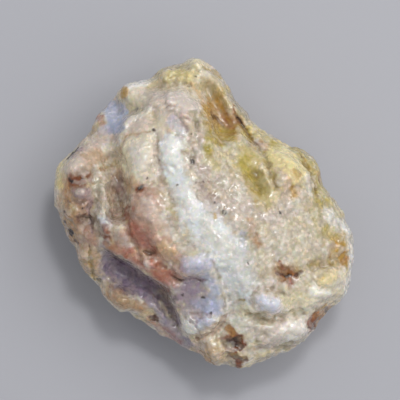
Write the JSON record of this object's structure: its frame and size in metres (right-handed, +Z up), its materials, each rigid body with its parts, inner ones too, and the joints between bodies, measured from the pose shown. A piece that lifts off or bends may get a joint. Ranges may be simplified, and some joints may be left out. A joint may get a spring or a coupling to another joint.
{
  "type": "hackmanite rough",
  "caption": "Rough lump of hackmanite with a low domed, ridged show face and a flat fracture underneath that it rests on.",
  "frame": {"origin": "middle of the stone's box in X and Y, on the flat fracture that it rests on", "axes": "+Z up, out of the show face; +X to the right and +Y to the top of the show face as the picture shows it"},
  "size_m": [0.0996, 0.1042, 0.0501],
  "materials": {
    "hackmanite": "sugary broken surface, waxy to glassy; cream and icy white with lilac to violet hackmanite, olive to amber translucent patches and rusty brown stains"
  },
  "bodies": {
    "root": {"hackmanite_rough": "hackmanite"}
  },
  "joints": []
}
